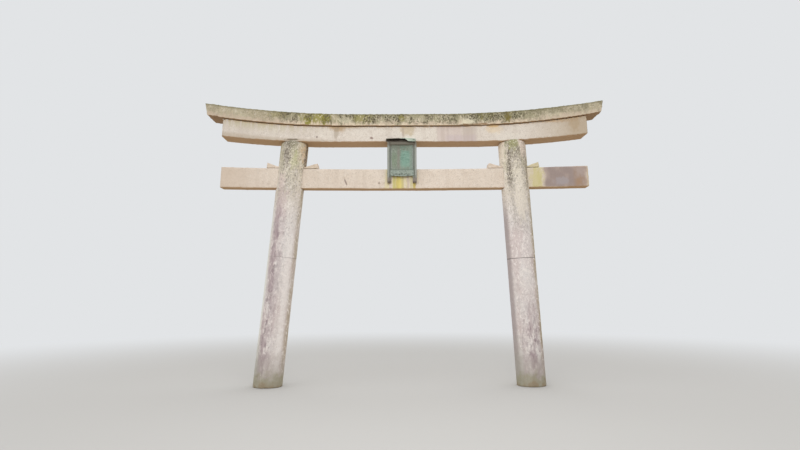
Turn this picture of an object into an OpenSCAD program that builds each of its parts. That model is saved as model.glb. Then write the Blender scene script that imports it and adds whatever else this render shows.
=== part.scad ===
// Stone torii gate in the myojin manner: two leaning round pillars, a tie beam held by
// wedges, a bowed lower lintel, an upswept cap of several stones and a bronze plaque.
// Millimetres, +Z up, front towards -Y. The origin is on the ground in the middle.

/* [Pillars] */
// Distance from the middle of the gate to the left pillar's axis, at the ground
left_foot_reach = 2448; // [2200:1:2700]
// Distance from the middle of the gate to the right pillar's axis, at the ground
right_foot_reach = 2232; // [2100:1:2700]
// Inward lean of the left pillar, in degrees
left_lean = 5.4; // [1:0.1:7]
// Inward lean of the right pillar, in degrees
right_lean = 3.1; // [1:0.1:7]
// Diameter of the left pillar at the ground
left_foot_d = 520; // [460:1:600]
// Diameter of the right pillar at the ground
right_foot_d = 518; // [460:1:600]
// How much thinner a pillar is at its top than at the ground
pillar_taper = 12; // [0:1:60]
// Length of the left pillar's lower drum, along its axis
left_drum_h = 2290; // [1500:1:3000]
// Length of the right pillar's lower drum, along its axis
right_drum_h = 2250; // [1500:1:3000]
// Worn edge round the joint between two drums
arris = 8; // [2:1:20]
// How far in from a pillar's side the rounding of its top reaches
crown_in = 85; // [20:1:140]
// Height of the rounding of a pillar's top
crown_h = 125; // [60:1:150]
// Depth below the lintel's underside at which the rounding starts
crown_start = 68; // [30:1:100]
// Height of the lips that a pillar's top raises in front of and behind the lintel
lip_h = 21; // [5:1:60]

/* [Tie beam] */
// Height of the tie beam's underside above the ground, in the middle
tie_bottom = 3521; // [3200:1:3700]
// Height of the tie beam in the middle
tie_h = 368; // [250:1:420]
// Depth of the tie beam, front to back
tie_d = 230; // [180:1:320]
// Length of the tie beam along its underside
tie_length = 6760; // [6000:1:7600]
// How much higher the tie beam's top is at its ends than in the middle
tie_top_rise = 58; // [0:1:120]
// How much higher the tie beam's underside is at its ends than in the middle
tie_bottom_rise = 36; // [0:1:110]
// Inward slope of the tie beam's end cuts, in degrees
tie_end_rake = 2.4; // [0:0.1:8]

/* [Wedges] */
// Length that shows of the two wedges outside the pillars
outer_wedge_show = 230; // [150:1:300]
// Length that shows of the two wedges between the pillars
inner_wedge_show = 268; // [150:1:320]
// Length of a wedge that is driven into the pillar
wedge_driven = 60; // [20:1:90]
// Height of a wedge at its outer end
wedge_thick = 102; // [50:1:140]
// Height of a wedge at the tip inside the pillar
wedge_tip = 6; // [3:1:12]
// How much narrower a wedge is than the tie beam
wedge_inset = 12; // [0:1:40]
// Lean of a wedge's outer end, in degrees
wedge_end_rake = 10; // [0:1:20]

/* [Lower lintel] */
// Height of the lower lintel's underside above the ground, in the middle
lintel_bottom = 4375; // [4200:1:4600]
// Height of the lower lintel in the middle
lintel_h = 290; // [220:1:420]
// Depth of the lower lintel, front to back
lintel_d = 430; // [360:1:450]
// Length of the lower lintel along its underside
lintel_length = 6720; // [6000:1:7200]
// Half length of the straight middle of the lower lintel's underside
lintel_flat = 1200; // [600:1:1500]
// Radius of the bow of the lower lintel's underside
lintel_bow_r = 17400; // [14000:100:40000]
// Inward slope of the lower lintel's end cuts, in degrees
lintel_end_rake = 3; // [0:0.1:8]

/* [Bow] */
// How far to the left of the middle the bowed lines of lintel and cap are lowest
bow_shift = 110; // [0:1:300]

/* [Strut] */
// How far the strut and the plaque stand to the left of the lintel's middle
middle_shift = 50; // [0:1:120]
// Width of the strut between the tie beam and the lower lintel
strut_w = 300; // [160:1:400]
// Depth of the strut, front to back
strut_d = 170; // [100:1:180]

/* [Cap] */
// Height of the cap's front face in the middle
cap_h = 221; // [150:1:300]
// Depth of the cap, front to back
cap_d = 520; // [480:1:600]
// Height of the ridge along the cap's top above its front edge
cap_ridge = 45; // [10:1:90]
// Length of the cap along its underside
cap_length = 7220; // [6900:1:7800]
// Half length of the straight middle of the cap's underside
cap_flat = 1000; // [500:1:1400]
// Radius of the bow of the cap's underside
cap_bow_r = 15200; // [13000:100:40000]
// Half length of the straight middle of the cap's top
cap_top_flat = 700; // [200:1:1200]
// Radius of the bow of the cap's top
cap_top_bow_r = 18800; // [16000:100:40000]
// Outward slope of the cap's end cuts, in degrees
cap_end_rake = 11; // [0:1:30]
// Distance from the middle to the joint left of it in the cap
cap_left_joint = 1330; // [900:1:1700]
// Distance from the middle to the joint right of it in the cap
cap_right_joint = 1060; // [900:1:1700]
// Length of the mended tip at the cap's left end
cap_tip_l = 205; // [120:1:400]

/* [Plaque] */
// Width of the plaque over its side boards
plaque_w = 533; // [430:1:640]
// Length of the plaque's side boards, from the foot of the legs to the hood
plaque_h = 744; // [700:1:760]
// Height of the foot of the plaque's legs above the tie beam's underside
plaque_foot = 108; // [60:1:160]
// Length of the legs below the bottom rail's ends
plaque_leg = 140; // [80:1:200]
// Width of each side board at the panel, seen from the front
side_w = 70; // [40:1:90]
// Width of each side board's front edge, from which its inner face slopes to the panel
side_edge = 30; // [10:1:38]
// Thickness of the side boards, front to back
side_t = 58; // [40:1:75]
// Height of the top rail
top_rail_h = 52; // [30:1:90]
// Height of the bottom rail at its ends
bottom_rail_h = 92; // [60:1:130]
// How far the bottom rail's lower edge bellies down in the middle
bottom_rail_belly = 22; // [0:1:40]
// Thickness of the top and bottom rails, front to back
rail_t = 44; // [30:1:56]
// Thickness of the plain panel
panel_t = 22; // [12:1:30]
// Diameter of the piercings along the bottom rail
piercing_d = 16; // [8:1:24]
// Number of piercings along the bottom rail
piercing_count = 7; // [3:1:9]
// Width of the hood
hood_w = 540; // [440:1:660]
// How far the hood has slipped to the left of the plaque's middle
hood_slip = 19; // [0:1:40]
// How far the hood reaches out in front of the side boards
hood_front = 40; // [20:1:60]
// Thickness of the hood's sheet
hood_t = 6; // [4:1:12]
// Height of the hood's ends above the side boards
hood_lift = 44; // [20:1:60]
// Rise of the hood's arch in the middle
hood_rise = 12; // [4:1:40]
// Height of the apron that is left of the hood's front, at its right end
apron_h = 50; // [20:1:60]
// Height of the torn edge where the apron is broken off, at its left end
apron_stub = 9; // [2:1:20]
// Where the torn edge starts to widen into the apron, to the right of the hood's middle
tear_start = 66; // [-180:1:66]
// Where the apron is whole, to the right of the hood's middle
tear_end = 132; // [80:1:200]
// Width of each iron arm that holds the plaque to the strut
arm_w = 36; // [20:1:60]
// Thickness of each iron arm
arm_t = 10; // [6:1:16]
// Distance between the middles of the two iron arms
arm_spacing = 200; // [120:1:240]
// Height of the iron arms above the tie beam's top
arm_height = 330; // [120:1:400]

/* [Hidden] */

LEFT = -1;
RIGHT = 1;
// Play between two stones that seat on a curved or sloping face
seat = 0.3;
// Step along X at which the bowed lines are drawn
chord = 200;
// Reach of a cutting block, longer than any piece
far = 9000;
// Sides of the many-sided ring that stands for a pillar's round
round_sides = 96;

// Levels and half sizes worked out from the sizes above
tie_top = tie_bottom + tie_h;
lintel_top = lintel_bottom + lintel_h;
cap_bottom = lintel_top + seat;
cap_top = cap_bottom + cap_h;
tie_half = tie_length / 2;
lintel_half = lintel_length / 2;
cap_half = cap_length / 2;
panel_h = plaque_h - plaque_leg - bottom_rail_h - top_rail_h;
hood_half = hood_w / 2;
hood_d = side_t + hood_front;

// The plaque leans on the tie beam's face and on the lintel's lower front edge
plaque_foot_z = tie_bottom + plaque_foot;
plaque_lean = atan2((lintel_d - tie_d) / 2, lintel_bottom - plaque_foot_z);

stone = [0.80, 0.76, 0.70];
stone_grey = [0.74, 0.72, 0.67];
stone_mossy = [0.62, 0.61, 0.50];
bronze = [0.42, 0.50, 0.45];
iron = [0.25, 0.24, 0.23];

// Height that a bowed line has gained at x: straight in the middle, then an arc
function bow(x, flat, r) =
    abs(x) <= flat ? 0 : r - sqrt(r * r - pow(abs(x) - flat, 2));
// The same line drawn in chords, so that stones laid on each other share every face, with
// its lowest stretch where the stones were set lowest
function bow_line(x, flat, r) =
    let (a = floor(x / chord) * chord, b = a + chord, t = (x - a) / chord)
    bow(a + bow_shift, flat, r) * (1 - t) + bow(b + bow_shift, flat, r) * t;
// Stations along X from x0 to x1: both ends and each whole chord between them
function stations(x0, x1) = concat(
    [x0],
    [for (i = [floor(x0 / chord) + 1 : ceil(x1 / chord) - 1]) i * chord],
    [x1]);
function reversed(list) = [for (i = [len(list) - 1 : -1 : 0]) list[i]];

function tie_under(x) = tie_bottom + tie_bottom_rise * pow(x / tie_half, 2);
function tie_over(x) = tie_top + tie_top_rise * pow(x / tie_half, 2);
function lintel_under(x) = lintel_bottom + bow_line(x, lintel_flat, lintel_bow_r);
function lintel_over(x) = lintel_top + bow_line(x, cap_flat, cap_bow_r);
function cap_under(x) = lintel_over(x) + seat;
function cap_edge(x) = cap_top + bow_line(x, cap_top_flat, cap_top_bow_r);
// Underside of the plaque's arched hood, x from the hood's own middle
function hood_under(x) = plaque_h + hood_lift + hood_rise * (1 - pow(x / hood_half, 2));
// Lower edge of the hood's apron: whole at the right, torn off at the left
function apron_under(x) =
    let (t = max(0, min(1, (x - tear_start) / (tear_end - tear_start))))
    hood_under(x) - apron_stub - (apron_h - apron_stub) * t;

function foot_reach(side) = side == LEFT ? left_foot_reach : right_foot_reach;
function lean(side) = side == LEFT ? left_lean : right_lean;
function foot_d(side) = side == LEFT ? left_foot_d : right_foot_d;
function drum_h(side) = side == LEFT ? left_drum_h : right_drum_h;
// Where a pillar's axis is at height z
function axis_x(side, z) = side * (foot_reach(side) - z * tan(lean(side)));
// A pillar's axis at the middle of the tie beam, and at the lintel's underside
function tie_x(side) = axis_x(side, tie_bottom + tie_h / 2);
function lintel_x(side) = axis_x(side, lintel_bottom);
// Radius of a pillar at height h along its axis
function pillar_r(side, h) = (foot_d(side) - pillar_taper * h / lintel_top) / 2;

// Turns a flat outline drawn in X and Z into a piece d deep, centred on Y
module upright(d) {
    rotate([90, 0, 0])
        linear_extrude(d, center = true)
            children();
}

// Puts a solid that stands on the origin onto a pillar's leaning axis
module on_axis(side) {
    translate([side * foot_reach(side), 0, 0])
        rotate([0, -side * lean(side), 0])
            children();
}

// Half outline of a drum's end at height h, its joint edge worn; way is the way out of it
function bed_edge(side, h, way) = [
    [pillar_r(side, h - way * arris), h - way * arris],
    [pillar_r(side, h) - arris, h]];
// Half outline of a pillar's rounded top, from its side up to height h
function crown(side, h) = [
    for (turn = [0 : 15 : 90])
        [pillar_r(side, h - crown_h) - crown_in * (1 - cos(turn)), h - crown_h * (1 - sin(turn))]];

// A drum turned from the half outline of its ends, which are given from the ground up
module drum(side, outline) {
    last = len(outline) - 1;
    on_axis(side)
        rotate_extrude($fn = round_sides)
            polygon(concat([[0, outline[0][1]]], outline, [[0, outline[last][1]]]));
}

// The ground plane cuts the foot level
module lower_drum(side) {
    below = -foot_d(side) / 4;
    color(stone_grey)
    difference() {
        drum(side, concat([[pillar_r(side, below), below]], bed_edge(side, drum_h(side), 1)));
        translate([-far / 2, -far / 2, -far]) cube([far, far, far]);
    }
}

// The upper drum is pierced for the tie beam and its wedges. Its rounded top is cut level,
// and the lintel is bedded in it between two lips
module upper_drum(side) {
    bed = lintel_under(lintel_x(side));
    top = (bed - crown_start) / cos(lean(side)) + crown_h;
    color(stone_grey)
    difference() {
        drum(side, concat(reversed(bed_edge(side, drum_h(side), -1)), crown(side, top)));
        translate([-far / 2, -far / 2, bed + lip_h]) cube([far, far, far]);
        mortise(side);
        upright(lintel_d + 2 * seat)
            polygon(beam_outline(
                [for (x = seat_run(side)) [x, lintel_under(x) - seat]],
                [for (x = seat_run(side)) [x, lintel_top]]));
    }
}

// Stations across a pillar's top, wide enough to cut right through it
function seat_run(side) = stations(
    lintel_x(side) - foot_d(side),
    lintel_x(side) + foot_d(side));
function beam_outline(under, over) = concat(under, reversed(over));

// Length of a wedge that shows: those outside the pillars are shorter
function wedge_show(side, way) = side == way ? outer_wedge_show : inner_wedge_show;
// Half the width of a pillar at the tie beam's faces, where the wedges start to show
function entry(side) =
    let (r = pillar_r(side, tie_top))
    sqrt(r * r - pow(tie_d / 2, 2)) / cos(lean(side));
// A pillar's axis at the tie beam's top
function wedge_axis(side) = axis_x(side, tie_over(tie_x(side)));
// Height of a wedge at its pillar's face
function wedge_at_face(side, way) =
    wedge_tip + (wedge_thick - wedge_tip) * wedge_driven / (wedge_show(side, way) + wedge_driven);
// Room above the tie beam for the higher of a pillar's two wedges
function wedge_room(side) = max(wedge_at_face(side, LEFT), wedge_at_face(side, RIGHT));

// The hole for the tie beam, as high as the wedges are at the pillar's face
module mortise(side) {
    run = stations(tie_x(side) - foot_d(side), tie_x(side) + foot_d(side));
    upright(tie_d + 2 * seat)
        polygon(beam_outline(
            [for (x = run) [x, tie_under(x) - seat]],
            [for (x = run) [x, tie_over(x) + wedge_room(side) + 2 * seat]]));
}

// One stone of the tie beam between two stations
module tie_stone(x0, x1, rake0, rake1) {
    color(stone)
    upright(tie_d)
        polygon(beam_outline(
            [for (x = stations(x0, x1)) [x, tie_under(x)]],
            [for (x = stations(x0 + rake0, x1 - rake1)) [x, tie_over(x)]]));
}
tie_rake = tie_h * tan(tie_end_rake);

// A wedge driven from the side way (LEFT or RIGHT) of a pillar
module wedge(side, way) {
    face = wedge_axis(side) + way * entry(side);
    tip = face - way * wedge_driven;
    end = face + way * wedge_show(side, way);
    top_end = end - way * wedge_thick * tan(wedge_end_rake);
    color(stone)
    upright(tie_d - wedge_inset)
        polygon([
            [tip, tie_over(tip) + seat],
            [end, tie_over(end) + seat],
            [top_end, tie_over(end) + seat + wedge_thick],
            [tip, tie_over(tip) + seat + wedge_tip]]);
}

// The strut stands on the tie beam and reaches the lintel's underside
module strut() {
    base = tie_over(strut_w / 2 + middle_shift) + seat;
    color(stone)
    translate([-middle_shift, 0, 0])
        upright(strut_d)
            translate([-strut_w / 2, base])
                square([strut_w, lintel_bottom - seat - base]);
}

// One stone of the lower lintel between two stations
module lintel_stone(x0, x1, rake0, rake1) {
    color(stone)
    upright(lintel_d)
        polygon(beam_outline(
            [for (x = stations(x0, x1)) [x, lintel_under(x)]],
            [for (x = stations(x0 + rake0, x1 - rake1)) [x, lintel_over(x)]]));
}
lintel_rake = lintel_h * tan(lintel_end_rake);

// Section of the cap at x, its upper edges shifted along X by the rake of an end cut
function cap_section(x, rake) =
    let (
        edge_x = x + (cap_edge(x) - cap_under(x)) * rake,
        ridge_x = edge_x + cap_ridge * rake)
    [
        [x, -cap_d / 2, cap_under(x)],
        [edge_x, -cap_d / 2, cap_edge(edge_x)],
        [ridge_x, 0, cap_edge(ridge_x) + cap_ridge],
        [edge_x, cap_d / 2, cap_edge(edge_x)],
        [x, cap_d / 2, cap_under(x)]];

// One stone of the cap: five-sided sections, flat below and ridged above, lofted along it
module cap_stone(x0, x1, rake0, rake1) {
    xs = stations(x0, x1);
    last = len(xs) - 1;
    sides = 5;
    points = [for (i = [0 : last])
        each cap_section(xs[i], i == 0 ? rake0 : i == last ? rake1 : 0)];
    skin = [for (i = [0 : last - 1]) for (k = [0 : sides - 1])
        let (a = i * sides + k, b = i * sides + (k + 1) % sides)
        [a, b, b + sides, a + sides]];
    color(stone_mossy)
    polyhedron(points, concat(
        skin,
        [[for (k = [sides - 1 : -1 : 0]) k]],
        [[for (k = [0 : sides - 1]) last * sides + k]]));
}
cap_rake = tan(cap_end_rake);

// Puts the plaque's own upright frame, its back on the XZ plane, where it leans
module hung() {
    translate([-middle_shift, -tie_d / 2 - seat, plaque_foot_z])
        rotate([plaque_lean, 0, 0])
            children();
}

// Turns an outline drawn in X and Z into a board t thick, its back y in front of the
// plaque's back plane
module board(t, y) {
    translate([0, -y, 0])
        rotate([90, 0, 0])
            linear_extrude(t)
                children();
}

module panel() {
    color(bronze)
    hung() board(panel_t, 0)
        translate([-plaque_w / 2 + side_w, plaque_leg + bottom_rail_h])
            square([plaque_w - 2 * side_w, panel_h]);
}

// A side board, which runs on below the rails as a leg. Its inner face slopes in from the
// front edge to the panel, as on a picture frame
module side_board(side) {
    outer = side * plaque_w / 2;
    inner = outer - side * side_w;
    color(bronze)
    hung()
        linear_extrude(plaque_h)
            polygon([
                [outer, 0],
                [outer, -side_t],
                [outer - side * side_edge, -side_t],
                [inner, -panel_t],
                [inner, 0]]);
}

// Plan of a rail from h0 to h1: its ends follow the side boards' sloping faces
module rail_bar(h0, h1) {
    back_half = plaque_w / 2 - side_w;
    slope = (side_w - side_edge) / (side_t - panel_t);
    front_half = back_half + (rail_t - panel_t) * slope;
    translate([0, 0, h0])
        linear_extrude(h1 - h0)
            polygon([
                [-back_half, 0],
                [-back_half, -panel_t],
                [-front_half + seat, -rail_t],
                [front_half - seat, -rail_t],
                [back_half, -panel_t],
                [back_half, 0]]);
}

module top_rail() {
    color(bronze)
    hung() rail_bar(plaque_h - top_rail_h, plaque_h);
}

// The bottom rail bellies down in the middle and is pierced in a row
module bottom_rail() {
    rail_half = plaque_w / 2 - side_w;
    segments = 12;
    pitch = 2 * rail_half / (piercing_count + 1);
    top = plaque_leg + bottom_rail_h;
    color(bronze)
    hung()
        difference() {
            rail_bar(plaque_leg - bottom_rail_belly, top);
            board(2 * rail_t, -rail_t / 2)
                polygon(concat(
                    [for (i = [0 : segments])
                        let (t = 2 * i / segments - 1)
                        [t * plaque_w / 2, plaque_leg - bottom_rail_belly * (1 - t * t)]],
                    [[plaque_w / 2, -far], [-plaque_w / 2, -far]]));
            board(2 * rail_t, -rail_t / 2)
                for (i = [1 : piercing_count])
                    translate([i * pitch - rail_half, plaque_leg + piercing_d])
                        circle(d = piercing_d, $fn = 24);
        }
}

// The hood is an open box of sheet: an arched top, a back that stands on the side boards
// and the top rail, and an apron in front, of which only the right end is left
module hood() {
    xs = [for (i = [-8 : 8]) i * hood_half / 8];
    over = [for (x = xs) [x, hood_under(x) + hood_t]];
    color(bronze)
    hung()
        translate([-hood_slip, 0, 0]) {
            board(hood_d, 0)
                polygon(beam_outline([for (x = xs) [x, hood_under(x)]], over));
            board(hood_t, hood_d - hood_t)
                polygon(beam_outline([for (x = xs) [x, apron_under(x)]], over));
            board(hood_t, 0)
                polygon(beam_outline([for (x = xs) [x, plaque_h + seat]], over));
        }
}

// An iron arm lies level from the strut's face to the plaque's leaning back
module arm(side) {
    z = tie_top + arm_height;
    root = -strut_d / 2 - seat;
    function back(h) =
        -tie_d / 2 - (h - plaque_foot_z) * tan(plaque_lean);
    color(iron)
    translate([side * arm_spacing / 2 - arm_w / 2 - middle_shift, 0, 0])
        rotate([90, 0, 90])
            linear_extrude(arm_w)
                polygon([
                    [root, z],
                    [root, z + arm_t],
                    [back(z + arm_t), z + arm_t],
                    [back(z), z]]);
}

lower_drum(LEFT);  // pillar_left_lower
upper_drum(LEFT);  // pillar_left_upper
lower_drum(RIGHT);  // pillar_right_lower
upper_drum(RIGHT);  // pillar_right_upper
tie_stone(-tie_half, tie_x(LEFT), tie_rake, 0);  // tie_beam_left
tie_stone(tie_x(LEFT), tie_x(RIGHT), 0, 0);  // tie_beam_middle
tie_stone(tie_x(RIGHT), tie_half, 0, tie_rake);  // tie_beam_right
wedge(LEFT, LEFT);  // wedge_left_outer
wedge(LEFT, RIGHT);  // wedge_left_inner
wedge(RIGHT, LEFT);  // wedge_right_inner
wedge(RIGHT, RIGHT);  // wedge_right_outer
strut();
lintel_stone(-lintel_half, lintel_x(LEFT), lintel_rake, 0);  // lintel_left
lintel_stone(lintel_x(LEFT), lintel_x(RIGHT), 0, 0);  // lintel_middle
lintel_stone(lintel_x(RIGHT), lintel_half, 0, lintel_rake);  // lintel_right
cap_stone(-cap_half, -cap_half + cap_tip_l, -cap_rake, 0);  // cap_tip_left
cap_stone(-cap_half + cap_tip_l, -cap_left_joint, 0, 0);  // cap_left
cap_stone(-cap_left_joint, cap_right_joint, 0, 0);  // cap_middle
cap_stone(cap_right_joint, cap_half, 0, cap_rake);  // cap_right
panel();  // plaque_panel
side_board(LEFT);  // plaque_side_left
side_board(RIGHT);  // plaque_side_right
top_rail();  // plaque_top_rail
bottom_rail();  // plaque_bottom_rail
hood();  // plaque_hood
arm(LEFT);  // plaque_arm_left
arm(RIGHT);  // plaque_arm_right
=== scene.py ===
"""Looks of a weathered granite shrine gate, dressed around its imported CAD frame. Metres."""

import math

import bpy
import numpy as np
from mathutils import Matrix, Vector


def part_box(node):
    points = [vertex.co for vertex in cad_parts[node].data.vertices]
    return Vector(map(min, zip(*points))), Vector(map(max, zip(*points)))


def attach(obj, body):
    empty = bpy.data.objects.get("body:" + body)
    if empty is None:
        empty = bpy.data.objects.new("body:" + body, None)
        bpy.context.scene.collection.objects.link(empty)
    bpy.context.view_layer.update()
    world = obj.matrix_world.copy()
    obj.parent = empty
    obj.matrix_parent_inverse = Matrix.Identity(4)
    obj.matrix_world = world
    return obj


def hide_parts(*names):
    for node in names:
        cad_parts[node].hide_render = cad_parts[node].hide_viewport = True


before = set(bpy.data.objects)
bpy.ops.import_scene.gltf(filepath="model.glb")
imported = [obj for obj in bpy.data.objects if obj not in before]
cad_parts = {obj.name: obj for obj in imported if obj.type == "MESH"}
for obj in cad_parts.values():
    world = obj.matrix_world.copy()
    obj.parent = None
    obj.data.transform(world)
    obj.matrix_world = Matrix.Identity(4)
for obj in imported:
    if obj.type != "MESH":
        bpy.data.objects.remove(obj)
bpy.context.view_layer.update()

# The camera stands where the photograph was taken from: ten and a half metres in front of
# the gate, at the height of a person's eyes, looking a little upwards.
eye = (-0.1248, -10.5457, 1.61)
yaw, pitch, roll = -0.00333, 0.11891, -0.00422
bpy.ops.object.camera_add(location=eye)
camera = bpy.context.object
camera.matrix_world = (
    Matrix.Translation(eye)
    @ Matrix.Rotation(yaw, 4, "Z")
    @ Matrix.Rotation(math.radians(90) + pitch, 4, "X")
    @ Matrix.Rotation(roll, 4, "Z"))
camera.data.lens = 26.1
camera.data.clip_end = 200
bpy.context.scene.camera = camera
bpy.context.scene.view_settings.view_transform = "Standard"


# The studio is a pale floor that fades into a pale backdrop a few metres behind the gate,
# so no horizon shows. The floor keeps the gate's shadow near its feet.
def linear(red, green, blue):
    """A colour as a screen shows it, 0 to 255 a channel, in the values that nodes hold."""
    return [((c / 255 + 0.055) / 1.055) ** 2.4 for c in (red, green, blue)] + [1]


def node(tree, kind, settings=None, **inputs):
    """Adds a shader node, sets its properties and its inputs, and links what is a socket."""
    made = tree.nodes.new("ShaderNode" + kind)
    for name, value in (settings or {}).items():
        setattr(made, name, value)
    for name, value in inputs.items():
        socket = made.inputs[name.replace("_", " ")]
        if isinstance(value, bpy.types.NodeSocket):
            tree.links.new(value, socket)
        else:
            socket.default_value = value
    return made


def band(tree, value, low, high):
    """A mask that rises smoothly from 0 at low to 1 at high."""
    made = node(tree, "MapRange", {"interpolation_type": "SMOOTHSTEP"}, Value=value)
    made.inputs["From Min"].default_value = low
    made.inputs["From Max"].default_value = high
    return made.outputs["Result"]


def maths(tree, operation, *values):
    """One step of arithmetic on masks, heights or plain numbers."""
    made = node(tree, "Math", {"operation": operation})
    for socket, value in zip(made.inputs, values):
        if isinstance(value, bpy.types.NodeSocket):
            tree.links.new(value, socket)
        else:
            socket.default_value = value
    return made.outputs[0]


def seen_directly(tree):
    """A mask that is 1 for rays from the camera, also after a mirror or a pane, else 0."""
    rays = node(tree, "LightPath").outputs
    either = rays["Is Camera Ray"]
    for kind in ("Is Glossy Ray", "Is Transmission Ray"):
        either = maths(tree, "MAXIMUM", either, rays[kind])
    return either


def shown_where(tree, mask, first, second):
    """The first shader's surface, which turns into the second's where the mask is 1."""
    made = node(tree, "MixShader", Fac=mask)
    tree.links.new(first.outputs[0], made.inputs[1])
    tree.links.new(second.outputs[0], made.inputs[2])
    return made


backdrop = linear(226, 228, 230)
world = bpy.data.worlds.new("studio")
bpy.context.scene.world = world
world.use_nodes = True
sky = world.node_tree
sky.nodes.clear()
# A slightly bluish sky lights the gate, and the camera sees the backdrop in its place
lighting = node(sky, "Background", Color=(0.97, 0.98, 1.0, 1), Strength=0.86)
behind = node(sky, "Background", Color=backdrop, Strength=1.0)
studio = shown_where(sky, seen_directly(sky), lighting, behind)
out = node(sky, "OutputWorld")
sky.links.new(studio.outputs[0], out.inputs["Surface"])

bpy.ops.mesh.primitive_circle_add(vertices=96, radius=90, fill_type="TRIFAN")
floor = bpy.context.object
floor.name = "studio_floor"
floor_paint = bpy.data.materials.new("studio_floor")
floor_paint.use_nodes = True
tree = floor_paint.node_tree
tree.nodes.clear()
place = node(tree, "TexCoord").outputs["Object"]
far_off = node(tree, "VectorMath", {"operation": "LENGTH"}, Vector=place).outputs["Value"]
matt = node(tree, "BsdfDiffuse", Color=linear(188, 186, 182))
haze = node(tree, "Emission", Color=backdrop, Strength=1.0)
fade_from, fade_to = 5.0, 16.0
visible = shown_where(tree, band(tree, far_off, fade_from, fade_to), matt, haze)
reflecting = node(tree, "BsdfDiffuse", Color=linear(168, 158, 142))
surface = shown_where(tree, seen_directly(tree), reflecting, visible)
out = node(tree, "OutputMaterial")
tree.links.new(surface.outputs[0], out.inputs["Surface"])
floor.data.materials.append(floor_paint)

# A large lamp in front and two very soft suns light it as an overcast sky would
bpy.ops.object.light_add(type="AREA", location=(0, -6.0, 6.0))
softbox = bpy.context.object
softbox.name = "softbox"
softbox.rotation_euler.x = math.radians(58)
softbox.data.size = 3.5
softbox.data.energy = 125
for name, tilt, turn, power, softness in (
        ("front", 48, -35, 0.5, 80), ("back", 48, 168, 0.8, 90)):
    bpy.ops.object.light_add(type="SUN")
    lamp = bpy.context.object
    lamp.name = name
    lamp.rotation_euler = (math.radians(tilt), 0, math.radians(turn))
    lamp.data.energy = power
    lamp.data.angle = math.radians(softness)


# Pillars: two round drums of granite each, hammer dressed, stacked on a plain bed joint and
# leaning inwards. Rain draws purple-grey streaks down them, lichen spots their upper third.
def finish_with(piece, kind, **settings):
    """Adds a modifier to a piece, sets it and applies it."""
    bpy.context.view_layer.objects.active = piece
    modifier = piece.modifiers.new(kind.lower(), kind)
    for name, value in settings.items():
        setattr(modifier, name, value)
    bpy.ops.object.modifier_apply(modifier=modifier.name)


def faces_on(piece, point, normal):
    """In edit mode, leaves just those faces selected that lie on the plane of a joint."""
    parallel, off_plane = 0.99, 0.002
    bpy.ops.mesh.select_mode(type="FACE")
    bpy.ops.mesh.select_all(action="DESELECT")
    bpy.ops.object.mode_set(mode="OBJECT")
    for face in piece.data.polygons:
        face.select = (abs(face.normal.dot(normal)) > parallel
                       and abs((face.center - point).dot(normal)) < off_plane)
    bpy.ops.object.mode_set(mode="EDIT")


def stone(name, cad_node, voxel, softening, joints=()):
    """The CAD node's shape as one even skin of faces with worn arrises, still running on
    past each joint, which is a point on it and its outward direction."""
    bpy.ops.object.select_all(action="DESELECT")
    made = bpy.data.objects.new(name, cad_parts[cad_node].data.copy())
    bpy.context.scene.collection.objects.link(made)
    made.data.materials.clear()
    made.select_set(True)
    bpy.context.view_layer.objects.active = made
    bpy.ops.object.mode_set(mode="EDIT")
    bpy.ops.mesh.select_all(action="SELECT")
    bpy.ops.mesh.remove_doubles(threshold=0.0001)
    for point, outward in joints:
        faces_on(made, point, outward)
        bpy.ops.transform.translate(value=outward * overrun)
    bpy.ops.object.mode_set(mode="OBJECT")
    finish_with(made, "REMESH", mode="VOXEL", voxel_size=voxel)
    finish_with(made, "SMOOTH", factor=0.5, iterations=softening)
    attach(made, "root")
    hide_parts(cad_node)
    return made


def saw(piece, joints, arris):
    """Cuts a stone off at each joint and takes the sharp edge off the cut."""
    for point, outward in joints:
        bpy.ops.object.mode_set(mode="EDIT")
        bpy.ops.mesh.select_all(action="SELECT")
        bpy.ops.mesh.bisect(plane_co=point, plane_no=outward, use_fill=True, clear_outer=True)
        faces_on(piece, point, outward)
        bpy.ops.mesh.region_to_loop()
        bpy.ops.mesh.bevel(offset=arris, segments=1, affect="EDGES")
        bpy.ops.object.mode_set(mode="OBJECT")
        bpy.ops.object.shade_smooth_by_angle(angle=math.radians(38))


def lumps(name, size, depth=2, contrast=1.0, brightness=1.0):
    """A cloud texture whose lumps are about size metres, for wearing a stone's skin."""
    made = bpy.data.textures.new(name, "CLOUDS")
    made.noise_scale = size
    made.noise_depth = depth
    made.contrast = contrast
    made.intensity = brightness
    return made


# How far a stone runs on past a joint until it is sawn off there
overrun = 0.08
swell = lumps("swell", 0.35)
hammered = lumps("hammered", 0.045, depth=3)
spalls = lumps("spalls", 0.07, depth=1, contrast=3.5, brightness=0.7)


def wear(piece, swell_by, hammer_by, spall_by):
    """Sinks a stone's skin: long swells, tool marks all over, and spalls on its arrises,
    which are wherever the skin is turned away from all three axes."""
    arrises = piece.vertex_groups.new(name="arrises")
    normals = np.zeros(len(piece.data.vertices) * 3, np.float32)
    piece.data.vertices.foreach_get("normal", normals)
    slant = 1 - np.abs(normals.reshape(-1, 3)).max(axis=1)
    steps, slant_step = 4, 0.04
    for step in range(1, steps + 1):
        most = slant_step * (step + 1) if step < steps else 1.0
        chosen = np.nonzero((slant > slant_step * step) & (slant <= most))[0]
        arrises.add(chosen.tolist(), step / steps, "REPLACE")
    for texture, depth, group in (
            (swell, swell_by, ""), (hammered, hammer_by, ""), (spalls, spall_by, "arrises")):
        finish_with(piece, "DISPLACE", texture=texture, strength=-depth, mid_level=0.0,
                    vertex_group=group)
    bpy.ops.object.shade_smooth()


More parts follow.
